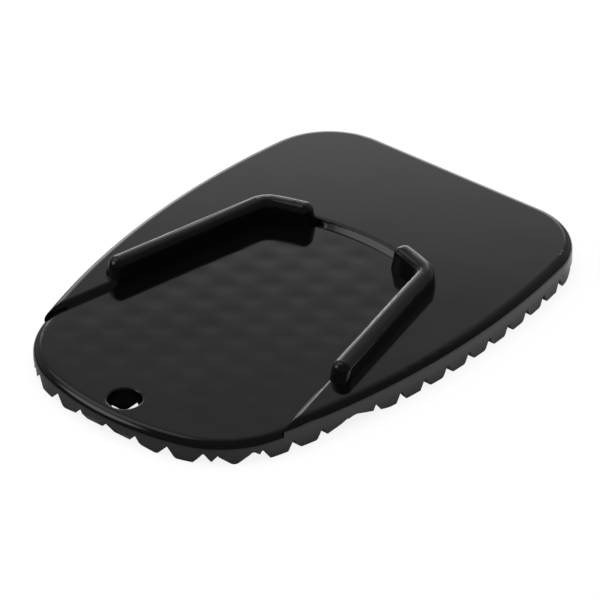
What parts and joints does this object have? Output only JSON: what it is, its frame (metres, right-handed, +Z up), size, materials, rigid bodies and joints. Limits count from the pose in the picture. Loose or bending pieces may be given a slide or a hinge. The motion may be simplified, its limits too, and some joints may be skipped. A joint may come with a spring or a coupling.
{
  "type": "kickstand foot enlarger",
  "caption": "Tapered moulded plastic pad for a motorbike side stand: studded tread below, shallow seat between two bent rails on top, lanyard hole in the nose.",
  "frame": {"origin": "centre of the bounding box in plan, on the ground plane under the tread lugs", "axes": "+Y along the pad from its narrow nose to its wide end, +Z up from the tread to the seat, the YZ plane is the plane of symmetry"},
  "size_m": [0.0844, 0.1186, 0.0107],
  "materials": {
    "body": "gloss black moulded plastic"
  },
  "bodies": {
    "root": {"kickstand_pad": "body"}
  },
  "joints": []
}
